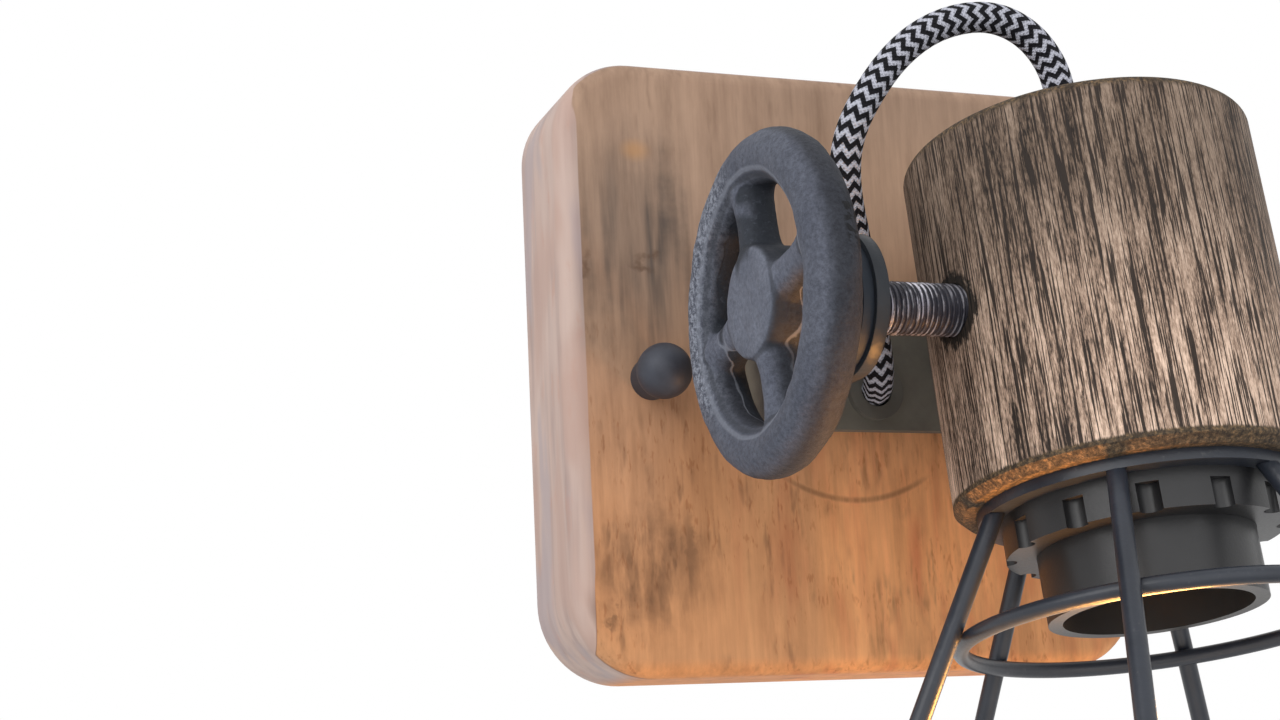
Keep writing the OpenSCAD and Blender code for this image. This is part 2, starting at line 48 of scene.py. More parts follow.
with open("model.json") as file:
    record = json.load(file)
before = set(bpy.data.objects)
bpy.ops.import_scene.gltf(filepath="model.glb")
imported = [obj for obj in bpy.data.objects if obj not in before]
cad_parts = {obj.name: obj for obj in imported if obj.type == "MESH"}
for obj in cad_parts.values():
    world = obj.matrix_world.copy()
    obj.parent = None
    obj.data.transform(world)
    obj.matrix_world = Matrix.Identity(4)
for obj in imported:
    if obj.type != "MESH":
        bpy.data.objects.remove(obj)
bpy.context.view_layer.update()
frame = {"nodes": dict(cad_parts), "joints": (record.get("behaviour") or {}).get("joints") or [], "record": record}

MM = 0.001
NODES = frame["nodes"]
SLOTS = {part["node"]: part["material_slot"] for part in frame["record"]["subparts"]}
PIVOT = Vector(next(j["pos_m"] for j in frame["joints"] if j["name"] == "head_tilt"))
SOCKET = next(m for m in frame["record"]["mounts"] if m["name"] == "bulb_socket")
SOCKET_MOUTH = Vector(SOCKET["pos_m"])
HEAD_TILT = math.atan2(-SOCKET["axis"][1], -SOCKET["axis"][2])

# Where the photo was taken from: angles in degrees, place in metres, lens and sensor in millimetres
CAMERA_TURN, CAMERA_LIFT, CAMERA_ROLL = 20.04, 12.10, -2.76
CAMERA_PLACE = (-0.1796, -0.3884, -0.0831)
CAMERA_LENS, CAMERA_SENSOR = 56.25, 36

# Points round each drawn piece, and rows of points for each turn of a thread
CORD_SIDES, STUD_SIDES, SHELL_SIDES = 32, 40, 64
STUD_ROWS, SHELL_ROWS = 8, 12

# Points between two points of the cord's route, and how often the line is evened out
CORD_STEPS, CORD_PASSES = 6, 14

# Place along Y just behind the plate's flat front, radii on the cast wheel, and the radius of the stud's painted
# highlight lines, in millimetres
PLATE_FRONT = -24.9
HUB_EDGE, RIM_GROOVE, RIM_BEAD = 10.3, 22.5, 23.6
STUD_HIGHLIGHT = 4.7

# Length of the waves in the cast skin, passes that soften it, and the fewest points of a whole casting
CAST_WAVE, CAST_PASSES, CAST_POINTS = 7 * MM, 8, 1000

# Gap that is closed between points before edges are broken, and the least angle of a sharp edge
WELD_GAP, SHARP_ANGLE = 0.01 * MM, math.radians(40)

# Point that the two studio lights face
LIGHT_AIM = Vector((0, -0.05, 0))

# Warm lights: how far from the holder's mouth along its axis, how far one stands to the left, and their size
GLOW_INSIDE, GLOW_BELOW, GLOW_LEFT, GLOW_SIZE = 42 * MM, 75 * MM, 20 * MM, 12 * MM

# Half the floor's side in metres, and where it starts and ends to fade into the surroundings, in millimetres
FLOOR_REACH = 3.0
FADE_START, FADE_END = 200, 900

# Line of the cord from the plate's hole to the gland on the cup, in millimetres
CORD_ROUTE = [
    (2.5, -17, -6), (2.5, -27, -6), (1.5, -31.5, -6), (-0.5, -36, -5), (-2, -39.5, -3.5),
    (-3.5, -42, -0.5), (-5, -44, 3), (-6.5, -45.5, 7), (-8.1, -47, 11.5), (-9.5, -49, 16),
    (-11.1, -51, 20.5), (-12.9, -53, 25), (-14.4, -55.5, 30), (-14.9, -58, 35.5), (-13.3, -60, 41),
    (-9.9, -61.5, 47), (-5.2, -62.5, 53), (0.9, -63.5, 58), (7.8, -64, 61), (14.5, -64.5, 62),
    (20, -65, 60.5), (24.5, -65.5, 57), (27.5, -66, 51.5), (28, -67, 45), (28, -68.5, 35),
]


def tone(red, green, blue):
    """Linear colour for screen values from 0 to 255."""
    parts = (c / 255 for c in (red, green, blue))
    return tuple(c / 12.92 if c <= 0.04045 else ((c + 0.055) / 1.055) ** 2.4 for c in parts)


def size(name, description, default):
    """Property for a length in metres."""
    return FloatProperty(
        name=name, description=description, default=default, min=0, precision=5, unit="LENGTH",
    )


def colour(name, description, default):
    """Property for a linear colour."""
    return FloatVectorProperty(
        name=name, description=description, default=default, min=0, max=1, subtype="COLOR",
    )


class LampSizes(bpy.types.PropertyGroup):
    """Sizes of what is drawn here and not in the CAD."""

    cord_diameter: size("Cord diameter", "Outer diameter of the textile cord", 6 * MM)
    zigzag_pitch: size("Zigzag pitch", "Length of one black and one white band of the cord", 2.7 * MM)
    zigzag_height: size("Zigzag height", "How far each tooth of the cord's pattern reaches", 1.4 * MM)
    zigzag_teeth: IntProperty(name="Zigzag teeth", description="Teeth round the cord", default=7, min=1)
    thread_pitch: size("Thread pitch", "Pitch of the pivot stud's thread", 1.0 * MM)
    thread_depth: size("Thread depth", "Depth of the pivot stud's thread", 0.55 * MM)
    shell_pitch: size("Shell pitch", "Pitch of the rolled thread of the lamp holder", 3.63 * MM)
    shell_depth: size("Shell depth", "Depth of the rolled thread of the lamp holder", 0.8 * MM)
    shell_wall: size("Shell wall", "Thickness of the rolled screw shell", 0.4 * MM)
    cast_grain: size("Cast grain", "Mesh size of the cast wheel", 0.6 * MM)
    cast_unevenness: size("Cast unevenness", "How far the cast skin wanders", 0.16 * MM)
    edge_round: size("Edge rounding", "Broken edges of the bent strip", 0.4 * MM)
    floor_drop: size("Floor drop", "Depth of the floor under the wall face's centre", 350 * MM)


class LampColours(bpy.types.PropertyGroup):
    """Colours of the finishes."""

    plate_tan: colour("Plate tan", "Oiled wood of the plate's lower part", tone(199, 144, 100))
    plate_grey: colour("Plate grey", "Weathered wood of the plate's upper part", tone(166, 138, 118))
    plate_red: colour("Plate red", "Reddish streaks low on the plate", tone(172, 98, 66))
    plate_worn: colour("Plate worn", "Grey weathered patch of the plate", tone(80, 71, 66))
    plate_dark: colour("Plate dark", "Stains and pores in the plate", tone(88, 62, 44))
    # Sides paler partly from their sawn wood and partly from painted sheen
    plate_side: colour("Plate side", "Sawn sides of the plate", tone(190, 168, 158))
    cup_light: colour("Cup light", "Raised fibres of the cup", tone(236, 206, 184))
    cup_brown: colour("Cup brown", "Body colour of the cup", tone(172, 145, 126))
    cup_dark: colour("Cup dark", "Pores and chips of the cup", tone(38, 30, 26))
    wheel_paint: colour("Wheel paint", "Chalky paint on the wheel's front", tone(92, 96, 109))
    # Painted shade: darker paint on the wheel's faces turned from the front and on its outer rim
    wheel_handled: colour("Wheel handled", "Handled paint of the wheel's grip", tone(50, 52, 59))
    wheel_worn: colour("Wheel worn", "Rubbed ridges of the cast wheel", tone(146, 151, 163))
    # Bare pits of the casting, and painted shade in grooves and hollows
    wheel_bare: colour("Wheel bare", "Hollows of the cast wheel", tone(56, 59, 66))
    bracket_paint: colour("Bracket paint", "Paint of the bent arm", tone(39, 43, 49))
    # Painted light: paler paint on the arm's base, which lies in shade
    bracket_dust: colour("Bracket dust", "Dusty paint of the arm's base", tone(110, 106, 97))
    washer_paint: colour("Washer paint", "Slate paint of the clamp's washer", tone(40, 46, 55))
    cage_paint: colour("Cage paint", "Paint of the cage", tone(38, 43, 53))
    dark_steel: colour("Dark steel", "Blackened nuts and screws", tone(59, 62, 72))
    # Painted highlights: bright lines along the thread's flanks
    thread_bright: colour("Thread crests", "Bright crests of the stud", tone(226, 224, 234))
    thread_dark: colour("Thread valleys", "Grime in the stud's thread", tone(28, 28, 40))
    zinc: colour("Zinc", "Zinc-plated steel", tone(186, 186, 182))
    brass: colour("Brass", "Contacts, screws and screw shell", tone(198, 158, 84))
    black: colour("Black", "Moulded plastic", tone(34, 34, 36))
    rubber: colour("Rubber", "Bush of the cord", tone(98, 95, 88))
    white: colour("White", "Terminal block", tone(226, 224, 216))
    porcelain: colour("Porcelain", "Contact base of the lamp holder", tone(236, 232, 222))
    wire_brown: colour("Brown wire", "Live conductor", tone(104, 62, 36))
    wire_blue: colour("Blue wire", "Neutral conductor", tone(44, 84, 150))
    cord_black: colour("Cord black", "Dark yarn of the cord", tone(22, 22, 27))
    cord_white: colour("Cord white", "Pale yarn of the cord", tone(184, 186, 198))


class Value:
    """One output of a shader node. Arithmetic on it makes Math nodes."""

    def __init__(self, finish, node, output):
        self.finish, self.node, self.output = finish, node, output

    def __getitem__(self, name):
        return Value(self.finish, self.node, self.node.outputs[name])

    def math(self, operation, *terms):
        return self.finish.node("Math", {"operation": operation}, *terms)

    def __add__(self, other):
        return self.math("ADD", self, other)

    def __radd__(self, other):
        return self.math("ADD", other, self)

    def __sub__(self, other):
        return self.math("SUBTRACT", self, other)

    def __rsub__(self, other):
        return self.math("SUBTRACT", other, self)

    def __mul__(self, other):
        return self.math("MULTIPLY", self, other)

    def __rmul__(self, other):
        return self.math("MULTIPLY", other, self)

    def __truediv__(self, other):
        return self.math("DIVIDE", self, other)

    def __pow__(self, other):
        return self.math("POWER", self, other)

    def __abs__(self):
        return self.math("ABSOLUTE", self)

    def sine(self):
        return self.math("SINE", self)

    def fraction(self):
        return self.math("FRACT", self)

    def root(self):
        return self.math("SQRT", self)

    def larger(self, other):
        return self.math("MAXIMUM", self, other)

    def step(self, low, high):
        """0 below low and 1 above high, or the other way round, smooth between."""
        smooth = {"interpolation_type": "SMOOTHSTEP"}
        return self.finish.node("MapRange", smooth, Value=self, From_Min=low, From_Max=high)


class Finish:
    """Builds the node tree of one material or of the world."""

    def __init__(self, owner):
        owner.use_nodes = True
        self.owner, self.tree = owner, owner.node_tree
        self.tree.nodes.clear()

    def node(self, kind, settings=None, *values, **named):
        """Adds a node: settings first, then values or links, in order or by name with _ for a space."""
        made = self.tree.nodes.new("ShaderNode" + kind)
        for key, setting in (settings or {}).items():
            if key == "stops":
                ramp = made.color_ramp
                while len(ramp.elements) < len(setting):
                    ramp.elements.new(1.0)
                for element, (position, shade) in zip(ramp.elements, setting):
                    element.position, element.color = position, (*shade, 1.0)
            else:
                setattr(made, key, setting)
        sockets = [s for s in made.inputs if s.enabled]
        wanted = list(zip(sockets, values))
        for key, value in named.items():
            wanted.append((next(s for s in sockets if s.name == key.replace("_", " ")), value))
        for socket, value in wanted:
            if isinstance(value, Value):
                self.tree.links.new(value.output, socket)
            elif socket.type == "RGBA" and len(value) == 3:
                socket.default_value = (*value, 1.0)
            else:
                socket.default_value = value
        shown = [s for s in made.outputs if s.enabled]
        return Value(self, made, shown[0]) if shown else None

    def place(self, turn=0.0, origin=(0, 0, 0)):
        """Millimetres from origin, in axes turned about X."""
        shift = -(Matrix.Rotation(turn, 3, "X") @ Vector(origin)) / MM
        coords = self.node("TexCoord")["Object"]
        scale = (1 / MM,) * 3
        return self.node("Mapping", None, Vector=coords, Location=shift, Rotation=(turn, 0, 0), Scale=scale)

    def parts(self, vector):
        """X, Y and Z of a vector."""
        made = self.node("SeparateXYZ", None, vector)
        return made["X"], made["Y"], made["Z"]

    def noise(self, vector, scale=1.0, detail=2.0, rough=0.5, stretch=None):
        """Noise from 0 to 1. Stretch scales the three axes."""
        if stretch:
            vector = self.node("Mapping", None, Vector=vector, Scale=stretch)
        return self.node("TexNoise", None, Vector=vector, Scale=scale, Detail=detail, Roughness=rough)

    def ramp(self, value, *stops):
        """Colour for a value, between stops of a position and a colour."""
        return self.node("ValToRGB", {"stops": stops}, value)

    def mix(self, factor, a, b, blend="MIX"):
        """Colour a where the factor is 0, and b, or a blended with b, where it is 1."""
        return self.node("Mix", {"data_type": "RGBA", "blend_type": blend}, factor, a, b)

    def tint(self, base, factors):
        """Base colour times a factor for each channel, or times another colour."""
        return self.mix(1.0, base, factors, "MULTIPLY")

    def bump(self, height, depth, strength=1.0):
        """Normal for a height from 0 to 1 that stands for depth in millimetres."""
        return self.node("Bump", None, Strength=strength, Distance=depth * MM, Height=height)

    def spot(self, x, z, centre, reach, soft=0.6):
        """1 in an oval patch of the plate's front, 0 outside."""
        away = (((x - centre[0]) / reach[0]) ** 2 + ((z - centre[1]) / reach[1]) ** 2).root()
        return away.step(1.0, 1.0 - soft)

    def surface(self, **inputs):
        """Ends the material with one surface and gives it back."""
        shader = self.node("BsdfPrincipled", None, **inputs)
        self.node("OutputMaterial", None, Surface=shader)
        return self.owner


def new_finish(name):
    """Empty finish on a new material."""
    return Finish(bpy.data.materials.new(name))


def plate_wood(colours):
    """Oiled board with soft upright grain, greyer at the top, stained in places, with painted light low on the
    right and painted sheen on its sides.
    """
    f = new_finish("plate_wood")
    p = f.place()
    x, y, z = f.parts(p)
    streak = f.noise(p, detail=3, rough=0.5, stretch=(0.26, 0.26, 0.024))
    fine = f.noise(p, detail=2, rough=0.5, stretch=(0.8, 0.8, 0.06))
    broad = f.noise(p, detail=3, stretch=(0.05, 0.05, 0.022))
    dash = f.noise(p, detail=2, rough=0.5, stretch=(0.5, 0.5, 0.12))
    cluster = f.noise(p, scale=0.07, detail=2)
    blot = f.noise(p, detail=4, rough=0.6, stretch=(0.24, 0.24, 0.09))
    wander = f.noise(p, scale=0.22, detail=3, rough=0.6) - 0.5
    # Board: tan below and grey above, with soft streaks, lighter on the right, and painted warm light low on the
    # right
    grey = (z + 34 * (broad - 0.5) + 16 * x.step(-24, -52)).step(-44, 42) * 0.95
    wood = f.mix(grey, colours.plate_tan, colours.plate_grey)
    soft = streak * 0.35 + blot * 0.25 + fine * 0.1 + broad * 0.3
    shade = f.ramp(soft, (0.37, (0.74, 0.72, 0.7)), (0.5, (0.98, 0.98, 0.98)), (0.63, (1.13, 1.14, 1.15)))
    wood = f.tint(wood, shade)
    red = f.noise(p, detail=2, stretch=(0.2, 0.2, 0.04)).step(0.44, 0.74) * z.step(4, -38) * x.step(-46, 0)
    wood = f.mix(red * 0.6, wood, colours.plate_red)
    lighter = f.tint(wood, (1.2, 1.17, 1.12))
    wood = f.mix((x + 2 * (broad - 0.5)).step(-13, -9) * z.step(60, 34), wood, lighter)
    # Painted light: a brighter, warmer oval low on the right of the front, where the cup and wheel shade the plate
    painted_light = f.tint(wood, (1.34, 1.3, 1.27))
    wood = f.mix(f.spot(x, z, (14, -30), (42, 40), 0.8), wood, painted_light)
    # Worn patch, stain, marks and the curved scratch, on the front only
    across, up = x + 7 * wander, z + 12 * wander
    front = y.step(-18, -24)
    worn = f.spot(across, up, (-46, 22), (17, 34), 0.85) * (0.4 + 0.6 * streak.step(0.62, 0.4)) * front
    wood = f.mix(worn * 0.9, wood, colours.plate_worn)
    stain = f.spot(across, up, (-47, -42), (19, 16), 0.85)
    stain = stain * (0.2 + 0.5 * blot.step(0.7, 0.34) + 0.4 * dash.step(0.6, 0.42))
    marks = f.spot(across, up, (-38.5, -38), (2.8, 11), 0.9)
    marks = marks.larger(f.spot(across, up, (-55, -51), (2.6, 1.8), 0.9))
    marks = marks.larger(f.spot(across, up, (-57.5, 18.5), (1.8, 2.8), 0.9))
    marks = marks.larger(f.spot(across, up, (-45, 20), (3.8, 2.2), 0.9))
    scratch = abs(((x + 1.8) ** 2 + (z - 0.6) ** 2).root() - 28.6).step(0.9, 0.1)
    scratch = scratch * z.step(-22, -26) * (0.6 + 0.4 * fine.step(0.3, 0.55))
    dashes = dash.step(0.5, 0.78) * cluster.step(0.36, 0.6) * z.step(-62.3, -61.5)
    dashes = dashes * (0.3 + 0.35 * z.step(-5, -40))
    dark = (stain * 0.72).larger(marks * 0.62).larger(scratch * 0.5).larger(dashes) * front
    wood = f.mix(dark, wood, colours.plate_dark)
    # Pores, hair lines, warm underside and knot
    pores = f.noise(p, detail=2, rough=0.6, stretch=(1.0, 1.0, 0.26)).step(0.55, 0.68)
    pores = pores * cluster.step(0.4, 0.56) * z.step(24, -20) * front
    wood = f.mix(pores * 0.6, wood, f.tint(wood, (0.66, 0.52, 0.42)))
    hair = f.noise(p, detail=4, rough=0.65, stretch=(1.1, 1.1, 0.07))
    hair = f.ramp(hair, (0.34, (0.93, 0.92, 0.91)), (0.66, (1.06, 1.06, 1.05)))
    wood = f.tint(wood, hair)
    wood = f.mix(z.step(-58.5, -62), wood, f.tint(wood, (1.24, 1.05, 0.84)))
    wood = f.mix(f.spot(x, z, (-46, 43.4), (4.2, 3.2), 0.9) * 0.45, wood, tone(196, 142, 84))
    # Sawn sides, paler partly from their wood and partly from painted sheen, and a dark line where the front meets
    # the rounded edge near the lower corners
    lines = streak * 0.6 + fine * 0.15 + cluster * 0.25
    lines = f.ramp(lines, (0.36, (0.76, 0.73, 0.75)), (0.5, (0.99, 0.97, 0.97)), (0.66, (1.08, 1.08, 1.08)))
    # Painted sheen makes the sawn sides paler than the front
    sawn_and_sheen = f.tint(colours.plate_side, lines)
    sawn_and_sheen = f.mix(blot.step(0.54, 0.7) * 0.4, sawn_and_sheen, tone(190, 144, 124))
    sawn_and_sheen = f.mix(z.step(46, 60) * streak.step(0.6, 0.4) * 0.5, sawn_and_sheen, tone(140, 126, 128))
    band = f.noise(p, detail=2, rough=0.5, stretch=(0.07, 0.11, 0.03))
    sawn_and_sheen = f.mix(band.step(0.5, 0.64) * 0.7, sawn_and_sheen, tone(182, 152, 140))
    sawn_and_sheen = f.mix(band.step(0.48, 0.36) * 0.7, sawn_and_sheen, tone(168, 154, 156))
    upright = abs(x).step(46, 53).larger(z.step(44, 60) * 0.6).larger(y.step(-16, -8) * z.step(-62.4, -61))
    wrap = 3.3 * z.step(-42, -48) * abs(x).step(58.6, 57.6) + 1.3 * z.step(48, 58)
    depth = y + 0.3 * (fine - 0.5) + 0.4 * abs(x).step(57.9, 58.7) - wrap
    side = (depth - PLATE_FRONT).step(-0.04, 0.15) * upright
    edge = abs(depth - PLATE_FRONT).step(0.8, 0.1) * abs(x).step(44, 48) * z.step(-44, -50)
    return f.surface(
        Base_Color=f.mix(edge * 0.5, f.mix(side, wood, sawn_and_sheen), tone(98, 68, 50)),
        Roughness=0.52 + 0.2 * fine,
        Specular_IOR_Level=0.3,
        Normal=f.bump(streak * 0.4 + fine * 0.4 - dashes * 0.3, 0.15, 0.5),
    )


def cup_wood(colours):
    """Weathered turned wood with dark pores, sooty end grain, painted shade on its upper part and a chipped hole
    for the stud with painted shadow in its chips.
    """
    f = new_finish("cup_wood")
    p = f.place(HEAD_TILT, SOCKET_MOUTH)
    x, y, z = f.parts(p)
    fibre = f.noise(p, detail=3, rough=0.55, stretch=(0.5, 0.5, 0.035))
    speck = f.noise(p, detail=3, rough=0.65, stretch=(3.2, 3.2, 0.6))
    broad = f.noise(p, detail=2, stretch=(0.1, 0.1, 0.04))
    wide = f.noise(p, detail=1, rough=0.5, stretch=(1.8, 1.8, 0.055))
    thin = f.noise(p, detail=1, rough=0.5, stretch=(3.2, 3.2, 0.09))
    streak = fibre * 0.35 + speck * 0.45 + broad * 0.2
    wood = f.ramp(streak, (0.38, tone(54, 43, 37)), (0.48, colours.cup_brown), (0.59, colours.cup_light))
    # Painted shade: the cup darker towards its top
    wood = f.mix(z.step(20, 62) * 0.95, wood, f.tint(wood, (0.34, 0.34, 0.33)))
    pores = (wide.step(0.57, 0.61) * 0.96).larger(thin.step(0.58, 0.62) * 0.92)
    wood = f.mix(pores, wood, colours.cup_dark)
    grain = f.noise(p, scale=1.3, detail=4, rough=0.7)
    ends = f.ramp(grain, (0.36, tone(42, 36, 31)), (0.52, tone(84, 70, 54)), (0.66, tone(132, 106, 76)))
    rings = ((x ** 2 + (y + 9) ** 2).root() * 0.55 + 1.6 * broad).fraction()
    ends = f.mix(rings.step(0.55, 0.95) * 0.5, ends, tone(48, 38, 30))
    wood = f.mix((z + 0.8 * (speck - 0.5)).step(9.3, 8.7).larger(z.step(73.0, 74.5)), wood, ends)
    hole = Matrix.Rotation(HEAD_TILT, 3, "X") @ (PIVOT - SOCKET_MOUTH) / MM
    away = ((y - hole.y) ** 2 + (z - hole.z) ** 2).root()
    ragged = f.noise(p, detail=3, rough=0.65, stretch=(0.6, 0.6, 0.32))
    # Painted shadow in the ragged chips round the stud's hole; the same mask dents the bump
    chips = (away - 6.5 * (ragged - 0.3)).step(6.1, 4.9) * x.step(0, -10)
    wood = f.mix(chips * 0.94, wood, tone(22, 20, 18))
    height = fibre * 0.35 + speck * 0.25 - pores * 0.5 - chips * 0.9
    return f.surface(
        Base_Color=wood,
        Roughness=0.6 + 0.25 * speck,
        Specular_IOR_Level=0.3,
        Normal=f.bump(height, 0.35, 0.8),
    )


def wheel_paint(colours):
    """Thick matte paint on rough casting, bare in the windows and rubbed pale on its ridges, with painted shade on
    faces turned from the front and in its grooves and hollows.
    """
    f = new_finish("wheel_paint")
    p = f.place(HEAD_TILT, PIVOT)
    x, y, z = f.parts(p)
    away = (y ** 2 + z ** 2).root()
    grit = f.noise(p, scale=1.4, detail=4, rough=0.7)
    sand = f.noise(p, scale=1.1, detail=6, rough=0.82)
    cloud = f.noise(p, scale=0.1, detail=3)
    wander = f.noise(p, scale=0.12, detail=1, rough=0.5)
    facing = f.parts(f.node("TexCoord")["Normal"])[0].step(-0.15, -0.95)
    ridge = f.node("NewGeometry")["Pointiness"]
    # Paint, with painted shade on the faces turned from the front and on the outer rim
    shaded_side = (1.0 - facing).larger(away.step(19, 25) * 0.3)
    paint = f.mix(shaded_side, colours.wheel_paint, colours.wheel_handled)
    paint = f.tint(paint, f.ramp(cloud, (0.3, (0.84, 0.85, 0.87)), (0.7, (1.12, 1.12, 1.11))))
    paint = f.tint(paint, f.ramp(sand, (0.36, (0.66, 0.66, 0.67)), (0.64, (1.34, 1.34, 1.33))))
    paint = f.mix(grit.step(0.5, 0.3) * 0.35, paint, colours.wheel_bare)
    # Chips, cast lines and rubbed ridges, and painted shade in the grooves and hollows
    flake = f.noise(p, detail=1, rough=0.5, stretch=(0.6, 0.6, 1.1))
    chips = flake.step(0.5, 0.55) * away.step(25.5, 27.5) * x.step(-40.6, -39.6) * y.step(-4, -12)
    chips = chips * z.step(-4, 0) * z.step(10, 6)
    paint = f.mix(chips * 0.85, paint, tone(20, 20, 22))
    front, uneven = x.step(-42, -43.5), 0.6 * (wander - 0.5)
    groove = abs(away - RIM_GROOVE - uneven).step(0.6, 0.15) * front
    groove = groove.larger(abs(away - HUB_EDGE).step(0.7, 0.2) * x.step(-41.5, -43) * 0.9)
    bead = abs(away - RIM_BEAD - uneven).step(0.7, 0.2) * front
    rough = sand.step(0.44, 0.58) * away.step(21, 25) * y.step(-2, 10) * x.step(-37, -41) * z.step(-17, -8)
    worn = (ridge.step(0.51, 0.57) * 0.45).larger(bead * 0.32).larger(rough * 0.85)
    paint = f.mix(worn, paint, colours.wheel_worn)
    paint = f.mix(away.step(10.0, 9.5) * x.step(-44, -44.8) * 0.07, paint, colours.wheel_worn)
    # Painted shade darkens the grooves, the hub's edge and the hollows
    paint = f.mix((groove * 0.6).larger(ridge.step(0.49, 0.44) * 0.6), paint, colours.wheel_bare)
    # Bare casting in the windows, behind a wandering line with a pale lip
    upper = z.step(-6, 6) * (z + 0.5 * y).step(24, 14)
    near = y.step(0, -8)
    low = y.step(-1, 5) * z.step(-1, -6)
    behind = x + 9 * (wander - 0.5) + 0.4 * (grit - 0.5) + 42.6 + 2.4 * upper - 2.4 * low - 3.4 * near
    inner = away.step(24.2, 22.8) * (1.0 - near * z.step(-8, -13))
    bare = behind.step(-0.12, 0.12 + 1.4 * upper) * inner
    bared = f.mix(grit, tone(23, 27, 33), tone(54, 58, 66))
    bared = f.mix(sand.step(0.56, 0.68) * 0.5, bared, colours.wheel_paint)
    paint = f.mix(bare * 0.9, paint, bared)
    lip = abs(behind + 0.15).step(0.3, 0.06) * inner * z.step(4, -6) * near.larger(away.step(12, 14))
    paint = f.mix(lip * 0.5, paint, colours.wheel_worn)
    return f.surface(
        Base_Color=paint,
        Roughness=0.5 + 0.26 * grit,
        Specular_IOR_Level=0.16,
        Normal=f.bump(grit * 0.4 + sand * 0.4 + bead * 0.8 - groove * 0.5 - bare * 0.5, 0.3, 0.8),
    )


def painted(name, shade, gloss, grain, turn=0.0, origin=(0, 0, 0), sheen=0.5):
    """Painted steel with a faint orange-peel skin and rubbed spots."""
    f = new_finish(name)
    p = f.place(turn, origin)
    skin = f.noise(p, scale=grain, detail=3, rough=0.6)
    cloud = f.noise(p, scale=0.12, detail=4, rough=0.6)
    rub = f.noise(p, scale=0.5, detail=5, rough=0.7).step(0.6, 0.76)
    paint = f.tint(shade, f.ramp(cloud, (0.3, (0.8, 0.8, 0.81)), (0.7, (1.18, 1.18, 1.17))))
    paint = f.mix(rub * 0.22, paint, tone(120, 118, 116))
    return f.surface(
        Base_Color=paint,
        Roughness=gloss + 0.18 * cloud,
        Specular_IOR_Level=sheen,
        Normal=f.bump(skin, 0.08, 0.6),
    )


def bracket_paint(colours):
    """Dark paint of the bent arm, paler with painted light on the base that lies on the plate."""
    f = new_finish("bracket_paint")
    p = f.place()
    y = f.parts(p)[1]
    skin = f.noise(p, scale=1.2, detail=3, rough=0.6)
    cloud = f.noise(p, scale=0.12, detail=4, rough=0.6)
    # Painted light on the base near the plate, which lies in shade; the base is also rougher
    lit_base = (y + 6 * (cloud - 0.5)).step(-40, -30)
    paint = f.mix(lit_base, colours.bracket_paint, colours.bracket_dust)
    paint = f.tint(paint, f.ramp(cloud, (0.3, (0.82, 0.82, 0.82)), (0.7, (1.16, 1.16, 1.16))))
    return f.surface(
        Base_Color=paint,
        Roughness=0.32 + 0.2 * cloud + 0.2 * lit_base,
        Specular_IOR_Level=0.3,
        Normal=f.bump(skin, 0.08, 0.6),
    )


def steel(name, shade, rough, dull=0.0, turn=0.0, origin=(0, 0, 0)):
    """Bare or plated metal with fine scratches and dull patches."""
    f = new_finish(name)
    p = f.place(turn, origin)
    line = f.noise(p, detail=3, rough=0.6, stretch=(0.25, 2.4, 2.4))
    patch = f.noise(p, scale=0.35, detail=4, rough=0.6)
    metal = f.tint(shade, f.ramp(patch, (0.3, (0.78, 0.78, 0.79)), (0.7, (1.15, 1.15, 1.14))))
    return f.surface(
        Base_Color=metal,
        Metallic=1.0 - dull,
        Roughness=rough + 0.2 * patch + 0.1 * line,
        Normal=f.bump(line, 0.03, 0.5),
    )


def thread_steel(colours):
    """Bare thread: painted highlight lines along its flanks here and there, grimy dark steel between them."""
    f = new_finish("thread_steel")
    p = f.place(HEAD_TILT, PIVOT)
    x, y, z = f.parts(p)
    away = (y ** 2 + z ** 2).root()
    patch = f.noise(p, detail=3, rough=0.65, stretch=(0.9, 0.16, 0.16))
    spark = f.noise(p, scale=2.0, detail=2)
    hair = f.noise(p, detail=2, rough=0.6, stretch=(3.0, 0.1, 0.1))
    # Painted highlight lines at mid-flank, two to each turn of the thread
    highlight_lines = abs(away - STUD_HIGHLIGHT + 0.5 * (hair - 0.5) + 0.1 * (spark - 0.5)).step(0.16, 0.05)
    # Highlight lines dimmer towards the cup
    near_cup = x.step(-14, -7)
    highlight_lines = highlight_lines * (0.12 + 0.88 * patch.step(0.43, 0.55)) * (1.0 - 0.75 * near_cup)
    metal = f.mix(highlight_lines, colours.thread_dark, colours.thread_bright)
    metal = f.mix(spark.step(0.58, 0.75) * 0.3, metal, tone(92, 74, 62))
    return f.surface(
        Base_Color=metal,
        Metallic=0.3 + 0.6 * highlight_lines,
        Roughness=0.5 - 0.2 * highlight_lines,
        Normal=f.bump(spark, 0.06, 0.5),
    )


def moulded(name, shade, rough, turn=0.0, origin=(0, 0, 0)):
    """Moulded plastic, rubber or porcelain with a faint skin."""
    f = new_finish(name)
    p = f.place(turn, origin)
    skin = f.noise(p, scale=1.6, detail=3, rough=0.6)
    cloud = f.noise(p, scale=0.16, detail=3)
    body = f.tint(shade, f.ramp(cloud, (0.3, (0.88, 0.88, 0.88)), (0.7, (1.08, 1.08, 1.08))))
    return f.surface(Base_Color=body, Roughness=rough + 0.14 * skin, Normal=f.bump(skin, 0.05, 0.5))


def wire_cover(colours, node):
    """Brown and blue covers of the two conductors."""
    f = new_finish(node)
    p = f.place()
    x = f.parts(p)[0]
    low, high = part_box(node)
    middle = (low.x + high.x) / 2 / MM
    skin = f.noise(p, scale=2.0, detail=2)
    cover = f.mix(x.step(middle - 0.05, middle + 0.05), colours.wire_brown, colours.wire_blue)
    cover = f.mix(skin * 0.25, cover, tone(20, 20, 22))
    return f.surface(Base_Color=cover, Roughness=0.4 + 0.2 * skin, Normal=f.bump(skin, 0.04, 0.5))


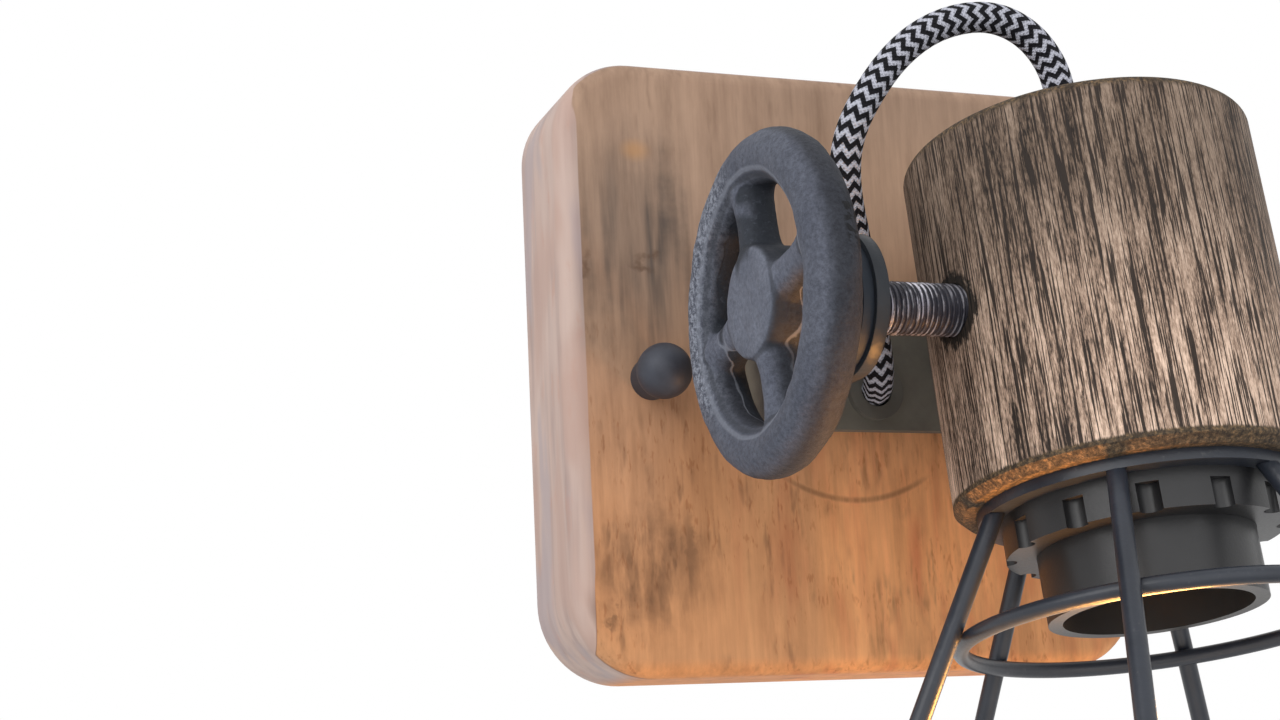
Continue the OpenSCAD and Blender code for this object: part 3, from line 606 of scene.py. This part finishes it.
def cord_textile(colours, sizes):
    """Braided cover with a zigzag of black and white yarn, and painted shade in the braid's dips."""
    f = new_finish("cord_textile")
    along, around, _ = f.parts(f.node("UVMap"))
    pitch, height = sizes.zigzag_pitch / MM, sizes.zigzag_height / MM
    turns = 2 * math.pi
    tooth = abs((around * sizes.zigzag_teeth).fraction() - 0.5) * 2
    fuzz = f.noise(f.node("CombineXYZ", None, along, around * 19.0, 0.0), scale=1.4, detail=3, rough=0.6)
    line = ((along + tooth * height + (fuzz - 0.5) * 0.5) / pitch).fraction()
    pale = abs(line - 0.5).step(0.27, 0.2)
    over = (turns * (along / 0.9 + around * 14)).sine()
    under = (turns * (along / 0.9 - around * 14)).sine()
    yarn = over.larger(under) * 0.5 + 0.5
    # Painted shade in the dips of the braid
    weave_shade = f.ramp(yarn * 0.6 + fuzz * 0.4, (0.2, (0.62, 0.62, 0.64)), (0.75, (1.1, 1.1, 1.1)))
    shade = f.tint(f.mix(pale, colours.cord_black, colours.cord_white), weave_shade)
    return f.surface(
        Base_Color=shade,
        Roughness=0.78 + 0.15 * fuzz,
        Specular_IOR_Level=0.2,
        Normal=f.bump(yarn * 0.7 + fuzz * 0.3, 0.3, 0.8),
    )


def rings_mesh(name, rings, lengths, closed_ends=True):
    """Mesh through rings of points; UV holds millimetres along it and turns round it."""
    sides = len(rings[0])
    points = [point for ring in rings for point in ring]
    faces, marks = [], []
    for i in range(len(rings) - 1):
        for k in range(sides):
            n = (k + 1) % sides
            faces.append((i * sides + k, i * sides + n, (i + 1) * sides + n, (i + 1) * sides + k))
            u, v = (lengths[i] / MM, lengths[i + 1] / MM), (k / sides, (k + 1) / sides)
            marks += [(u[0], v[0]), (u[0], v[1]), (u[1], v[1]), (u[1], v[0])]
    if closed_ends:
        for i, order in ((0, range(sides - 1, -1, -1)), (len(rings) - 1, range(sides))):
            faces.append([i * sides + k for k in order])
            marks += [(lengths[i] / MM, k / sides) for k in order]
    mesh = bpy.data.meshes.new(name)
    mesh.from_pydata(points, [], faces)
    layer = mesh.uv_layers.new(name="UVMap")
    for loop, mark in zip(layer.data, marks):
        loop.uv = mark
    for face in mesh.polygons:
        face.use_smooth = len(face.vertices) == 4
    mesh.update()
    return mesh


def smooth_line(points, steps, passes):
    """Close points of a soft line through the given ones, ends kept."""
    ends = [2 * points[0] - points[1], *points, 2 * points[-1] - points[-2]]
    line = []
    for a, b, c, d in zip(ends, ends[1:], ends[2:], ends[3:]):
        for k in range(steps):
            t = k / steps
            bend = (2 * a - 5 * b + 4 * c - d) * t**2 + (3 * b - a - 3 * c + d) * t**3
            line.append(0.5 * (2 * b + (c - a) * t + bend))
    line.append(points[-1])
    for _ in range(passes):
        inner = [(a + 2 * b + c) / 4 for a, b, c in zip(line, line[1:], line[2:])]
        line = [line[0], *inner, line[-1]]
    return line


def tube_rings(line, radius, sides):
    """Rings round a line and the length up to each."""
    rings, lengths, side = [], [0.0], None
    for i, point in enumerate(line):
        along = (line[min(i + 1, len(line) - 1)] - line[max(i - 1, 0)]).normalized()
        side = (side or along.orthogonal()).normalized()
        side = (side - side.dot(along) * along).normalized()
        up = along.cross(side)
        turns = [2 * math.pi * k / sides for k in range(sides)]
        rings.append([point + radius * (math.cos(t) * side + math.sin(t) * up) for t in turns])
        if i:
            lengths.append(lengths[-1] + (point - line[i - 1]).length)
    return rings, lengths


def thread_rings(start, end, radius, depth, pitch, sides, rows, shape, taper):
    """Rings of a screw thread. Shape gives the groove for a part of a turn; taper narrows the ends."""
    axis = end - start
    long = axis.length
    axis = axis.normalized()
    side = axis.orthogonal().normalized()
    up = axis.cross(side)
    count = round(long / pitch * rows)
    rings, lengths = [], []
    for i in range(count + 1):
        s = long * i / count
        ease = taper * max(0.0, 1 - s / taper, 1 - (long - s) / taper) if taper else 0.0
        ring = []
        for k in range(sides):
            turn = 2 * math.pi * k / sides
            r = radius - ease - depth * shape((s / pitch - k / sides) % 1.0)
            ring.append(start + s * axis + r * (math.cos(turn) * side + math.sin(turn) * up))
        rings.append(ring)
        lengths.append(s)
    return rings, lengths


def show(name, mesh, material, body, *replaced):
    """Adds a piece that stands for CAD nodes and moves with a body, where one is given."""
    obj = bpy.data.objects.new(name, mesh)
    bpy.context.scene.collection.objects.link(obj)
    mesh.materials.clear()
    mesh.materials.append(material)
    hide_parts(*replaced)
    SLOTS[replaced[0]]
    if body:
        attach(obj, body)
    return obj


def dress(material, *names):
    """Gives CAD nodes a finish."""
    for name in names:
        if name not in NODES:
            raise RuntimeError(f"the frame has no node {name}")
        mesh = NODES[name].data
        mesh.materials.clear()
        mesh.materials.append(material)


def soften(obj, width):
    """Breaks the sharp edges of a piece."""
    weld = obj.modifiers.new("weld", "WELD")
    weld.merge_threshold = WELD_GAP
    bevel = obj.modifiers.new("edges", "BEVEL")
    bevel.width, bevel.segments = width, 2
    bevel.limit_method, bevel.angle_limit = "ANGLE", SHARP_ANGLE
    bevel.harden_normals = True


class LAMP_OT_camera(bpy.types.Operator):
    """Sets the camera where the photo was taken from"""

    bl_idname = "lamp.camera"
    bl_label = "Camera"

    def execute(self, context):
        turn, lift, roll = (math.radians(a) for a in (CAMERA_TURN, CAMERA_LIFT, CAMERA_ROLL))
        forward = Vector((math.sin(turn) * math.cos(lift), math.cos(turn) * math.cos(lift), math.sin(lift)))
        right = forward.cross(Vector((0, 0, 1))).normalized()
        up = right.cross(forward)
        image_right = math.cos(roll) * right + math.sin(roll) * up
        image_up = math.cos(roll) * up - math.sin(roll) * right
        lens = bpy.data.cameras.new("camera")
        lens.lens, lens.sensor_width, lens.clip_start = CAMERA_LENS, CAMERA_SENSOR, 10 * MM
        camera = bpy.data.objects.new("camera", lens)
        axes = Matrix((image_right, image_up, -forward)).transposed().to_4x4()
        camera.matrix_world = Matrix.Translation(CAMERA_PLACE) @ axes
        context.scene.collection.objects.link(camera)
        context.scene.camera = camera
        return {"FINISHED"}


class LAMP_OT_cord(bpy.types.Operator):
    """Lays the textile cord from the plate to the cup"""

    bl_idname = "lamp.cord"
    bl_label = "Cord"

    def execute(self, context):
        sizes, colours = context.scene.lamp_sizes, context.scene.lamp_colours
        line = smooth_line([Vector(p) * MM for p in CORD_ROUTE], CORD_STEPS, CORD_PASSES)
        rings, lengths = tube_rings(line, sizes.cord_diameter / 2, CORD_SIDES)
        mesh = rings_mesh("textile_cord", rings, lengths)
        cord = show("textile_cord", mesh, cord_textile(colours, sizes), None, "cord")
        line[0]
        lengths[-1]
        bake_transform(cord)
        return {"FINISHED"}


class LAMP_OT_stud(bpy.types.Operator):
    """Cuts the thread of the pivot stud"""

    bl_idname = "lamp.stud"
    bl_label = "Pivot stud"

    def execute(self, context):
        sizes, colours = context.scene.lamp_sizes, context.scene.lamp_colours
        low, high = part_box("pivot_stud")
        start, end = (Vector((x, PIVOT.y, PIVOT.z)) for x in (low.x, high.x))
        rings, lengths = thread_rings(
            start, end,
            radius=(high.z - low.z) / 2, depth=sizes.thread_depth, pitch=sizes.thread_pitch,
            sides=STUD_SIDES, rows=STUD_ROWS,
            shape=lambda t: min(1.0, max(0.0, 2.6 * abs(t - 0.5) - 0.15)),
            taper=0.7 * MM,
        )
        mesh = rings_mesh("threaded_stud", rings, lengths)
        show("threaded_stud", mesh, thread_steel(colours), "head", "pivot_stud")
        return {"FINISHED"}


class LAMP_OT_handwheel(bpy.types.Operator):
    """Casts the handwheel with soft edges and an uneven skin"""

    bl_idname = "lamp.handwheel"
    bl_label = "Handwheel"

    def execute(self, context):
        sizes, colours = context.scene.lamp_sizes, context.scene.lamp_colours
        rough = bpy.data.objects.new("pattern", NODES["handwheel"].data.copy())
        context.scene.collection.objects.link(rough)
        remesh = rough.modifiers.new("grain", "REMESH")
        remesh.mode, remesh.voxel_size = "VOXEL", sizes.cast_grain
        soft = rough.modifiers.new("soft", "SMOOTH")
        soft.factor, soft.iterations = 0.5, CAST_PASSES
        mesh = bpy.data.meshes.new_from_object(rough.evaluated_get(context.evaluated_depsgraph_get()))
        bpy.data.objects.remove(rough)
        if len(mesh.vertices) < CAST_POINTS:
            raise RuntimeError("the cast wheel came out empty")
        mesh.name = "cast_handwheel"
        normals = [vertex.normal.copy() for vertex in mesh.vertices]
        for vertex, normal in zip(mesh.vertices, normals):
            vertex.co += normal * noise.fractal(vertex.co / CAST_WAVE, 0.7, 2.1, 4) * sizes.cast_unevenness
        for face in mesh.polygons:
            face.use_smooth = True
        show("cast_handwheel", mesh, wheel_paint(colours), "wheel", "handwheel")
        return {"FINISHED"}


class LAMP_OT_plate(bpy.types.Operator):
    """Finishes the wooden wall plate"""

    bl_idname = "lamp.plate"
    bl_label = "Wall plate"

    def execute(self, context):
        dress(plate_wood(context.scene.lamp_colours), "wall_plate")
        return {"FINISHED"}


class LAMP_OT_cup(bpy.types.Operator):
    """Finishes the wooden cup"""

    bl_idname = "lamp.cup"
    bl_label = "Cup"

    def execute(self, context):
        dress(cup_wood(context.scene.lamp_colours), "socket_cup")
        return {"FINISHED"}


class LAMP_OT_clamp(bpy.types.Operator):
    """Breaks the bent arm's edges, and finishes it, its screws, the ball nuts and the clamp's washer"""

    bl_idname = "lamp.clamp"
    bl_label = "Arm and nuts"

    def execute(self, context):
        colours = context.scene.lamp_colours
        mesh = NODES["arm_bracket"].data.copy()
        arm = show("bent_arm", mesh, bracket_paint(colours), "base", "arm_bracket")
        soften(arm, context.scene.lamp_sizes.edge_round)
        paint = painted("washer_paint", colours.washer_paint, gloss=0.45, grain=1.2, sheen=0.2)
        dress(paint, "wheel_washer")
        dress(steel("dark_steel", colours.dark_steel, rough=0.38, dull=0.75), "cap_nuts", "bracket_screws")
        return {"FINISHED"}


class LAMP_OT_cage(bpy.types.Operator):
    """Finishes the wire cage"""

    bl_idname = "lamp.cage"
    bl_label = "Cage"

    def execute(self, context):
        colours = context.scene.lamp_colours
        seat = {"turn": HEAD_TILT, "origin": SOCKET_MOUTH}
        paint = painted("cage_paint", colours.cage_paint, gloss=0.26, grain=0.9, **seat)
        dress(paint, "cage_flange", "cage_legs", "cage_mid_ring", "cage_bottom_ring")
        return {"FINISHED"}


class LAMP_OT_holder(bpy.types.Operator):
    """Finishes the lamp holder with its nipple, gland and leads, and rolls its screw shell"""

    bl_idname = "lamp.holder"
    bl_label = "Lamp holder"

    def execute(self, context):
        sizes, colours = context.scene.lamp_sizes, context.scene.lamp_colours
        seat = (HEAD_TILT, SOCKET_MOUTH)
        plastic = moulded("black_plastic", colours.black, 0.3, *seat)
        dress(plastic, "holder_cap", "holder_shell", "shade_ring", "cord_gland")
        dress(moulded("porcelain", colours.porcelain, 0.16, *seat), "contact_base")
        dress(steel("zinc_steel", colours.zinc, 0.28, 0.0, *seat), "nipple_tube")
        brass = steel("brass", colours.brass, 0.24, 0.0, *seat)
        dress(brass, "centre_contact")
        dress(wire_cover(colours, "holder_leads"), "holder_leads")
        inner, long = (SOCKET["dims"][key] * MM for key in ("r_mm", "length_mm"))
        rings, lengths = thread_rings(
            SOCKET_MOUTH, SOCKET_MOUTH - Vector(SOCKET["axis"]) * long,
            radius=inner + sizes.shell_wall, depth=sizes.shell_depth, pitch=sizes.shell_pitch,
            sides=SHELL_SIDES, rows=SHELL_ROWS,
            shape=lambda t: 0.5 - 0.5 * math.cos(2 * math.pi * t),
            taper=0.0,
        )
        mesh = rings_mesh("rolled_screw_shell", rings, lengths, closed_ends=False)
        shell = show("rolled_screw_shell", mesh, brass, "head", "screw_shell")
        wall = shell.modifiers.new("wall", "SOLIDIFY")
        wall.thickness, wall.offset = sizes.shell_wall, -1.0
        return {"FINISHED"}


class LAMP_OT_fixing(bpy.types.Operator):
    """Finishes the wall bar, its screws, the terminals and the bush"""

    bl_idname = "lamp.fixing"
    bl_label = "Wall fixing"

    def execute(self, context):
        colours = context.scene.lamp_colours
        dress(steel("zinc_plate", colours.zinc, 0.3), "mounting_bar", "mounting_studs", "block_screw")
        dress(steel("brass_screws", colours.brass, 0.26), "terminal_screws", "earth_screw")
        dress(moulded("white_plastic", colours.white, 0.36), "terminal_block")
        dress(moulded("dusty_rubber", colours.rubber, 0.6), "cord_bush")
        dress(wire_cover(colours, "core_wires"), "core_wires")
        return {"FINISHED"}


class LAMP_OT_stage(bpy.types.Operator):
    """Sets the pale floor, the white surroundings and the lights"""

    bl_idname = "lamp.stage"
    bl_label = "Stage"

    def execute(self, context):
        scene = context.scene
        scene.view_settings.view_transform = "Standard"
        scene.world = bpy.data.worlds.new("surroundings")
        f = Finish(scene.world)
        seen = self.seen(f)
        air = f.node("Background", None, Color=(1.0, 1.0, 1.0), Strength=0.72 + 0.28 * seen)
        f.node("OutputWorld", None, Surface=air)
        self.floor(scene)
        self.light(scene, "key", (-0.66, -0.45, 0.4), width=0.8, power=3.2, shade=(1.0, 0.99, 0.98))
        self.light(scene, "fill", (0.0, -1.0, 0.1), width=1.2, power=2.0, shade=(1.0, 1.0, 1.0))
        self.glow(scene)
        return {"FINISHED"}

    def seen(self, f):
        """1 where the surroundings are looked at, 0 where they only give light."""
        path = f.node("LightPath")
        return path["Is Camera Ray"].larger(path["Is Glossy Ray"]).larger(path["Is Transmission Ray"])

    def floor(self, scene):
        """Pale floor that fades into the white surroundings."""
        level = -scene.lamp_sizes.floor_drop
        outline = ((-1, -1), (1, -1), (1, 1), (-1, 1))
        corners = [(FLOOR_REACH * x, FLOOR_REACH * y, level) for x, y in outline]
        mesh = bpy.data.meshes.new("floor")
        mesh.from_pydata(corners, [], [(0, 1, 2, 3)])
        floor = bpy.data.objects.new("floor", mesh)
        scene.collection.objects.link(floor)
        f = new_finish("floor")
        p = f.place()
        x, y, _ = f.parts(p)
        shade = f.mix(f.noise(p, scale=0.4, detail=2), (0.84, 0.84, 0.83), (0.86, 0.86, 0.86))
        pale = f.node("BsdfPrincipled", None, Base_Color=shade, Roughness=0.9, Specular_IOR_Level=0.0)
        bright = f.node("Emission", None, Color=(1.0, 1.0, 1.0), Strength=1.0)
        far = (x ** 2 + y ** 2).root().step(FADE_START, FADE_END)
        blend = f.node("MixShader", None, (0.35 + 0.65 * far) * self.seen(f), pale, bright)
        f.node("OutputMaterial", None, Surface=blend)
        mesh.materials.append(f.owner)

    def light(self, scene, name, place, width, power, shade):
        """Round studio light that faces the lamp."""
        data = bpy.data.lights.new(name, "AREA")
        data.shape, data.size, data.energy, data.color = "DISK", width, power, shade
        lamp = bpy.data.objects.new(name, data)
        lamp.location = place
        lamp.rotation_euler = (LIGHT_AIM - lamp.location).to_track_quat("-Z", "Y").to_euler()
        scene.collection.objects.link(lamp)

    def glow(self, scene):
        """Warm light from under the cup on the cage, the arm's end and the plate."""
        axis = Vector(SOCKET["axis"])
        inside = SOCKET_MOUTH + axis * GLOW_INSIDE
        below = SOCKET_MOUTH + axis * GLOW_BELOW - Vector((GLOW_LEFT, 0, 0))
        amber, pale = (1.0, 0.44, 0.11), (1.0, 0.74, 0.5)
        cage_aim, arm_aim = (-0.8, -0.35, 0.45), (-0.22, 0.0, 0.97)
        self.warm(scene, "glow_on_cage", "SPOT", inside, power=0.34, shade=amber, aim=cage_aim, spread=125)
        self.warm(scene, "glow_on_arm", "SPOT", below, power=0.8, shade=amber, aim=arm_aim, spread=44)
        self.warm(scene, "glow_on_plate", "POINT", inside, power=0.045, shade=pale)

    def warm(self, scene, name, kind, place, power, shade, aim=(0, 0, -1), spread=None):
        """Small warm light; spread is a spot's angle in degrees."""
        data = bpy.data.lights.new(name, kind)
        data.energy, data.color, data.shadow_soft_size = power, shade, GLOW_SIZE
        if spread:
            data.spot_size, data.spot_blend = math.radians(spread), 0.7
        lamp = bpy.data.objects.new(name, data)
        lamp.location = place
        lamp.rotation_euler = Vector(aim).to_track_quat("-Z", "Y").to_euler()
        scene.collection.objects.link(lamp)


STEPS = (
    LAMP_OT_camera, LAMP_OT_cord, LAMP_OT_stud, LAMP_OT_handwheel, LAMP_OT_plate, LAMP_OT_cup,
    LAMP_OT_clamp, LAMP_OT_cage, LAMP_OT_holder, LAMP_OT_fixing, LAMP_OT_stage,
)


class LAMP_PT_build(bpy.types.Panel):
    """Steps, sizes and colours of the wall lamp"""

    bl_idname = "LAMP_PT_build"
    bl_label = "Wall lamp"
    bl_space_type = "VIEW_3D"
    bl_region_type = "UI"
    bl_category = "Wall lamp"

    def draw(self, context):
        for step in STEPS:
            self.layout.operator(step.bl_idname)
        for group in (context.scene.lamp_sizes, context.scene.lamp_colours):
            for key in group.bl_rna.properties.keys():
                if key not in ("rna_type", "name"):
                    self.layout.prop(group, key)


CLASSES = (LampSizes, LampColours, *STEPS, LAMP_PT_build)


def register():
    for cls in CLASSES:
        bpy.utils.register_class(cls)
    bpy.types.Scene.lamp_sizes = PointerProperty(type=LampSizes)
    bpy.types.Scene.lamp_colours = PointerProperty(type=LampColours)


def unregister():
    del bpy.types.Scene.lamp_colours
    del bpy.types.Scene.lamp_sizes
    for cls in reversed(CLASSES):
        bpy.utils.unregister_class(cls)


def main():
    register()
    bpy.ops.lamp.camera()
    bpy.ops.lamp.cord()
    bpy.ops.lamp.stud()
    bpy.ops.lamp.handwheel()
    bpy.ops.lamp.plate()
    bpy.ops.lamp.cup()
    bpy.ops.lamp.clamp()
    bpy.ops.lamp.cage()
    bpy.ops.lamp.holder()
    bpy.ops.lamp.fixing()
    bpy.ops.lamp.stage()


if __name__ == "__main__":
    main()
